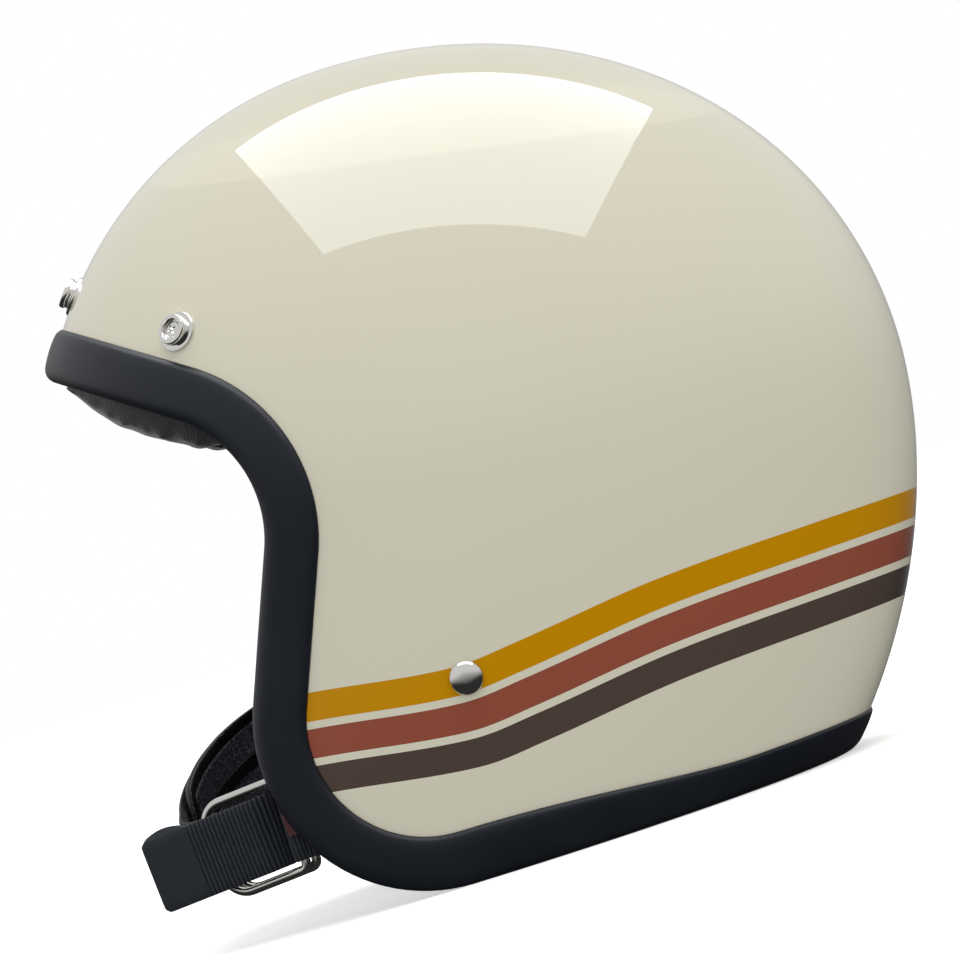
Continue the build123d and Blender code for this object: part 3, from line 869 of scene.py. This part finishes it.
for which, out, lag in (("inner", -ring_spacing / 2, 0.0), ("outer", ring_spacing / 2, ring_lag)):
    outline = [at_buckle(lag + p.x, out) + across_buckle * p.y for p in ring_outline()]
    outline, _length = even_steps(outline + [outline[0]], 0.7)
    count = len(outline) - 1

    def ring_point(u, v):
        k = int(round(u * count)) % count
        along = (outline[(k + 1) % count] - outline[k - 1]).normalized()
        sideways = along.cross(outwards).normalized()
        a = 2 * pi * v
        return (outline[k] + (outwards * cos(a) + sideways * sin(a)) * wire_radius) * mm

    ring = formed_grid(f"d_ring_{which}_wire", count, 20, ring_point)
    smooth(ring)
    stands_for(ring, f"{which}_ring", "ring_steel", f"d_ring_{which}")
    dress(ring, stainless)

# %% [markdown]
# ## Strap pads
# A flat pad lies between each side of the strap and the wearer's jaw. It is foam in leather cloth: a
# rounded tongue with a bound edge, and two grained panels sewn along it. The pad is thin and shaped by
# its outline, so it is formed directly, and its faces swell a little between their edges.

# %% Pads along the strap
pad_offset, pad_half_thickness, tongue_length = 3.2, 2.0, 14.0


def pad_point_rule(line, start, end, half_width, sign):
    """A rule for a cushioned strip on the wearer's side of a line."""
    points, _length = even_steps(line, 1.0)
    count = len(points) - 1
    total = (end - start) * count

    def placed(u, v):
        k = start * count + total * u
        i = min(int(k), count - 1)
        point = points[i].lerp(points[i + 1], k - i)
        along = (points[min(i + 2, count)] - points[max(i - 1, 0)]).normalized()
        across = (Vector((0, 0, 1)) - along * along.z).normalized()
        inwards = along.cross(across) * sign
        from_end = min(u, 1 - u) * total
        tongue = sqrt(max(0.0, 1 - max(0.0, 1 - from_end / tongue_length) ** 2))
        a = 2 * pi * v
        wide = cos(a)
        face = 1 if sin(a) >= 0 else -1
        fullness = abs(sin(a)) ** 0.45
        thickness = pad_half_thickness * fullness * (0.55 + 0.45 * tongue)
        binding = 0.7 * (1 if abs(wide) > 0.86 or from_end < 2.5 else 0)
        lift = face * (thickness * (0.75 if face > 0 else 1.0)) + (binding * 0.35 if face > 0 else 0)
        sideways = wide * half_width * max(tongue, 0.02)
        return (point + across * sideways + inwards * (pad_offset + lift)) * mm

    return placed


def make_pad(name, line, start, end, half_width, sign, node_name):
    pad = formed_grid(name, 180, 96, pad_point_rule(line, start, end, half_width, sign))
    smooth(pad, 50)
    stands_for(pad, "chin_strap", "strap_leather", node_name)
    return pad


right_pad = make_pad("right_strap_pad", round_chin, 0.28, 0.93, 14.2, 1, "strap_pad_right")
left_pad = make_pad("left_strap_pad", short_line[:60], 0.56, 0.79, 13.5, -1, "strap_pad_left")

# %% [markdown]
# Two softer panels of grained leather cloth are sewn along the wearer's face of each pad. They are
# separate pieces on the real pad, so they are separate here, with rounded edges that sink into it.

# %% Sewn panels
panel_half_width, panel_offset = 4.5, 4.3


def make_panel(name, line, start, end, from_middle, sign, node_name):
    """A raised strip 9 mm wide along a pad's face, `from_middle` from its middle line."""
    points, _length = even_steps(line, 1.0)
    count = len(points) - 1

    def placed(u, v):
        k = (start + (end - start) * u) * count
        i = min(int(k), count - 1)
        point = points[i].lerp(points[i + 1], k - i)
        along = (points[min(i + 2, count)] - points[max(i - 1, 0)]).normalized()
        across = (Vector((0, 0, 1)) - along * along.z).normalized()
        inwards = along.cross(across) * sign
        from_end = min(u, 1 - u) * (end - start) * count
        corner = 1 - 0.22 * max(0.0, 1 - from_end / 2.0) ** 2
        a = 2 * pi * v
        wide = (abs(cos(a)) ** 0.4) * (1 if cos(a) > 0 else -1)
        thick = (abs(sin(a)) ** 0.6) * (1 if sin(a) > 0 else -1)
        thick *= min(1.0, from_end / 1.5 + 0.3)
        ruck = 0.12 * sin(2 * pi * from_end / 3.7) + 0.08 * sin(2 * pi * from_end / 2.3 + wide)
        lift = panel_offset + (1.15 + ruck) * thick
        sideways = from_middle + panel_half_width * wide * corner
        return (point + across * sideways + inwards * lift) * mm

    panel = formed_grid(name, 220, 40, placed, close_ends=True)
    smooth(panel, 60)
    stands_for(panel, "chin_strap", "strap_leather", node_name)
    return panel


panels = []
for number, shift in enumerate((6.3, -6.3), 1):
    panels.append(
        make_panel(f"right_pad_panel_{number}", round_chin, 0.335, 0.9, shift, 1, "strap_pad_right")
    )
    panels.append(
        make_panel(f"left_pad_panel_{number}", short_line[:60], 0.61, 0.745, shift, -1, "strap_pad_left")
    )

# %% [markdown]
# Leather cloth is vinyl pressed with a grain of small rounded cells, about 1.4 mm across. Voronoi cells
# give that pebble look; the low places between them stay dark.

# %% Leather cloth
def leather_cloth(name, low, high):
    """Grained leather cloth in two tones, the joints between the cells and their tops."""
    leather, shader = new_material(name, Roughness=0.5, Specular_IOR_Level=0.4)
    cells = node(
        leather, "ShaderNodeTexVoronoi", [(own_place(leather), "Vector")], feature="DISTANCE_TO_EDGE",
        in_Scale=1 / (1.4 * mm),
    )
    pebble = node(
        leather, "ShaderNodeMapRange", [(cells.outputs["Distance"], "Value")],
        interpolation_type="SMOOTHSTEP", in_From_Max=0.25,
    )
    tint = two_tone(leather, pebble.outputs["Result"], low, high)
    wire(leather, tint, shader.inputs["Base Color"])
    relief(leather, shader, pebble.outputs["Result"], 0.6, 0.25)
    return leather


binding_black = leather_cloth("black_leather_cloth", "#050506", "#101013")
panel_grey = leather_cloth("grey_leather_cloth", "#22222A", "#4A4A56")
for pad in (right_pad, left_pad):
    dress(pad, binding_black)
for panel in panels:
    dress(panel, panel_grey)

# %% [markdown]
# ## The soft lining
# Cheek pads, brow pad, neck roll and comfort liner are foam in brushed knit. Each starts as a copy of its
# CAD solid, remeshed to even small faces, and cloth simulation with air pressure inside swells it: flat
# faces crown and edges round over, as foam does in a sewn cover. How far any point may move is capped, so
# the pads keep clear of the strap and the shell.

# %% Cloth recipe
def padded_copy(node_name, name, voxel, cap, shrink=1.2, frames=16):
    """Copy a CAD solid, remesh it, swell it as cloth, cap the movement and refine it once."""
    mesh = nodes[node_name].data.copy()
    piece = bpy.data.objects.new(name, mesh)
    bpy.context.scene.collection.objects.link(piece)
    tidy_mesh(piece, gap=1e-5, outward=False)
    remesh = piece.modifiers.new("even faces", "REMESH")
    remesh.mode = "VOXEL"
    remesh.voxel_size = voxel * mm
    apply_modifiers(piece)
    only(piece)
    normals = [v.normal.copy() for v in piece.data.vertices]
    for vertex, normal in zip(piece.data.vertices, normals):
        vertex.co -= normal * shrink * mm
    start = [v.co.copy() for v in piece.data.vertices]
    cloth = piece.modifiers.new("cover", "CLOTH")
    cloth.settings.use_pressure = True
    cloth.settings.uniform_pressure_force = 4.0
    cloth.settings.effector_weights.gravity = 0
    cloth.settings.tension_stiffness = 15
    cloth.settings.bending_stiffness = 0.5
    cloth.point_cache.frame_start = 1
    cloth.point_cache.frame_end = frames
    for frame_number in range(1, frames + 1):
        bpy.context.scene.frame_set(frame_number)
    apply_modifiers(piece)
    bpy.context.scene.frame_set(1)
    for vertex, first in zip(piece.data.vertices, start):
        move = vertex.co - first
        if move.length > cap * mm:
            vertex.co = first + move.normalized() * cap * mm
    refine = piece.modifiers.new("refine", "SUBSURF")
    refine.levels = refine.render_levels = 1
    apply_modifiers(piece)
    smooth(piece)
    print(name, "faces", len(piece.data.polygons))
    return piece


linings = []
for side in ("left", "right"):
    pad = padded_copy(f"cheek_pad_{side}", f"cheek_pad_{side}_cover", 4.0, 2.6)
    stands_for(pad, "helmet", "liner_fabric", f"cheek_pad_{side}")
    linings.append(pad)
brow = padded_copy("brow_pad", "brow_pad_cover", 3.5, 2.4, shrink=1.5)
for vertex in brow.data.vertices:
    y = vertex.co.y / mm
    low_edge = 152.5 + max(0.0, -86.4 - y) * tan(brow_rise)
    below = min(max((low_edge + 10.0 - vertex.co.z / mm) / 10.0, 0.0), 1.0)
    thin_front = 8.0 * min(max((-98.0 - y) / 21.0, 0.0), 1.0) ** 2
    thin_back = 2.6 * exp(-(((y + 78.0) / 9.0) ** 2))
    gathers = 0.2 * sin(2 * pi * y / 13.0) + 0.15 * sin(2 * pi * y / 7.3 + 1.0)
    vertex.co.z += (thin_front + thin_back + gathers) * below * mm
stands_for(brow, "helmet", "liner_fabric", "brow_pad")
neck = padded_copy("neck_roll", "neck_roll_cover", 3.5, 2.4, shrink=1.5)
stands_for(neck, "helmet", "liner_fabric", "neck_roll")
crown = padded_copy("comfort_liner", "comfort_liner_cover", 3.0, 1.2, shrink=0.6)
stands_for(crown, "helmet", "liner_fabric", "comfort_liner")
linings += [brow, neck, crown]

# %% [markdown]
# Brushed knit is a soft black cloth: fibres stand up from it, so it glows a little at its outline, which
# is what sheen gives. Its loops are about 0.9 mm apart.

# %% Lining cloth
knit, shader = new_material(
    "brushed_knit_lining", Roughness=0.9, Sheen_Weight=0.5, Sheen_Roughness=0.5, Specular_IOR_Level=0.2
)
place = own_place(knit)
loops = node(
    knit, "ShaderNodeTexVoronoi", [(place, "Vector")], in_Scale=1 / (0.9 * mm), in_Randomness=0.35
)
fuzz = node(knit, "ShaderNodeTexNoise", [(place, "Vector")], in_Scale=60.0, in_Detail=4.0)
wire(knit, two_tone(knit, fuzz.outputs["Fac"], "#0E0F11", "#24272A"), shader.inputs["Base Color"])
relief(knit, shader, loops.outputs["Distance"], 0.6, 0.3)
for piece in linings:
    dress(piece, knit)

# %% [markdown]
# The impact foam is moulded from beads, fused by steam. Its skin shows flattened beads about 3.5 mm
# across with fine dark joints. Inside a helmet it is painted or moulded black.

# %% Bead foam
foam, shader = new_material("moulded_bead_foam", Roughness=0.75, Specular_IOR_Level=0.3)
beads = node(
    foam, "ShaderNodeTexVoronoi", [(own_place(foam), "Vector")], feature="DISTANCE_TO_EDGE",
    in_Scale=1 / (3.5 * mm),
)
joint = node(foam, "ShaderNodeMapRange", [(beads.outputs["Distance"], "Value")], in_From_Max=0.12)
wire(foam, two_tone(foam, joint.outputs["Result"], "#08090A", "#1B1C1E"), shader.inputs["Base Color"])
relief(foam, shader, joint.outputs["Result"], 0.5, 0.3)
dress(nodes["eps_liner"], foam)

# %% [markdown]
# ## The red tab
# A short piece of red tape is folded double and sewn to the eye: the wearer pulls it to loosen the
# rings. It is a closed outline, swept across its width: out, round the fold and back.

# %% Tab
tab_width, tab_reach, tab_thickness, tab_height = 7.0, 4.0, 0.9, 5.0


def tab_point(u, v):
    """Across the tab with u, and round its cross-section with v."""
    a = 2 * pi * v
    along = tab_reach / 2 * (abs(cos(a)) ** 0.5) * (1 if cos(a) > 0 else -1)
    out = tab_thickness / 2 * (abs(sin(a)) ** 0.5) * (1 if sin(a) > 0 else -1)
    end = min(u, 1 - u) * tab_width
    out *= 1 - 0.5 * max(0.0, 1 - end / 0.6) ** 2
    place = at_buckle(0.4 + along, tab_height + out)
    return (place + across_buckle * (u - 0.5) * tab_width) * mm


tab = formed_grid("red_pull_tab", 36, 28, tab_point, close_ends=True)
smooth(tab, 60)
stands_for(tab, "chin_strap", "red_fabric", "release_tab")

red, shader = new_material("red_nylon_tape", Roughness=0.7, Sheen_Weight=0.3)
threads = node(
    red, "ShaderNodeTexNoise", [(own_place(red), "Vector")], in_Scale=1 / (0.7 * mm), in_Detail=2.0
)
wire(red, two_tone(red, threads.outputs["Fac"], "#3C0B10", "#5A131A"), shader.inputs["Base Color"])
relief(red, shader, threads.outputs["Fac"], 0.5, 0.1)
dress(tab, red)

# %% [markdown]
# ## Light and floor
# A white room and a pale floor. Gloss paint shows whatever stands around it, so the lights are placed by
# what they draw: one wide soft box overhead makes the broad pale shape high on the flank, with its lower
# edge across the upper third. It is seen by reflections only, and a dimmer lamp in the same place does
# the lighting, because one lamp bright enough to show in lacquer would bleach the colours. For reflections
# the room fades from white overhead to near black below, so chrome and rubber have something dark to show.

# %% Room and floor
middle = Vector((0, 0, 0.12))
room_light = 0.7
world = bpy.data.worlds.new("white_room")
bpy.context.scene.world = world
bpy.context.scene.view_settings.view_transform = "Standard"
world.use_nodes = True
room = world.node_tree.nodes["Background"]
room.inputs["Color"].default_value = (1, 1, 1, 1)
ray = node(world, "ShaderNodeLightPath")
height = node(world, "ShaderNodeSeparateXYZ", [(own_place(world), "Vector")]).outputs["Z"]
fade = node(
    world, "ShaderNodeMapRange", [(height, "Value")], interpolation_type="SMOOTHSTEP",
    in_From_Min=-0.25, in_From_Max=0.3, in_To_Min=0.03, in_To_Max=room_light,
)
unseen = node(
    world, "ShaderNodeMapRange",
    [(ray.outputs["Is Glossy Ray"], "Value"), (fade.outputs["Result"], "To Max")],
    in_To_Min=room_light,
)
strength = node(
    world, "ShaderNodeMapRange",
    [(ray.outputs["Is Camera Ray"], "Value"), (unseen.outputs["Result"], "To Min")],
)
wire(world, strength.outputs["Result"], room.inputs["Strength"])

bpy.ops.object.select_all(action="DESELECT")
bpy.ops.mesh.primitive_circle_add(vertices=96, radius=6.0, fill_type="NGON")
floor = bpy.context.object
floor.name = "pale_floor"
floor_paint, shader = new_material("matt_white_floor", Roughness=0.9, Emission_Strength=0.5)
shader.inputs["Base Color"].default_value = linear("#FBFBFA")
shader.inputs["Emission Color"].default_value = (1, 1, 1, 1)
dress(floor, floor_paint)
floor.visible_diffuse = floor.visible_glossy = False

# %% Lamps
turn_with_camera = Matrix((camera_right, -camera_back, camera_up)).transposed().to_4x4()


def soft_box(name, place, width, depth, watts):
    """A rectangular lamp overhead, level with the camera's own horizon, facing the helmet's level."""
    lamp = bpy.data.lights.new(name, "AREA")
    lamp.shape = "RECTANGLE"
    lamp.size, lamp.size_y, lamp.energy = width, depth, watts
    holder = bpy.data.objects.new(name, lamp)
    bpy.context.scene.collection.objects.link(holder)
    holder.matrix_world = Matrix.Translation(place) @ turn_with_camera
    return holder


overhead = middle + camera_up * 1.9 - camera_right * 0.27 + Vector((-0.15, 0, 0))
shown = soft_box("reflected_soft_box", overhead, 2.2, 2.6, 64)
shown.visible_diffuse = False
lighting = soft_box("lighting_soft_box", overhead + Vector((0.4, 0, 0)), 2.2, 2.6, 30)
lighting.visible_glossy = False
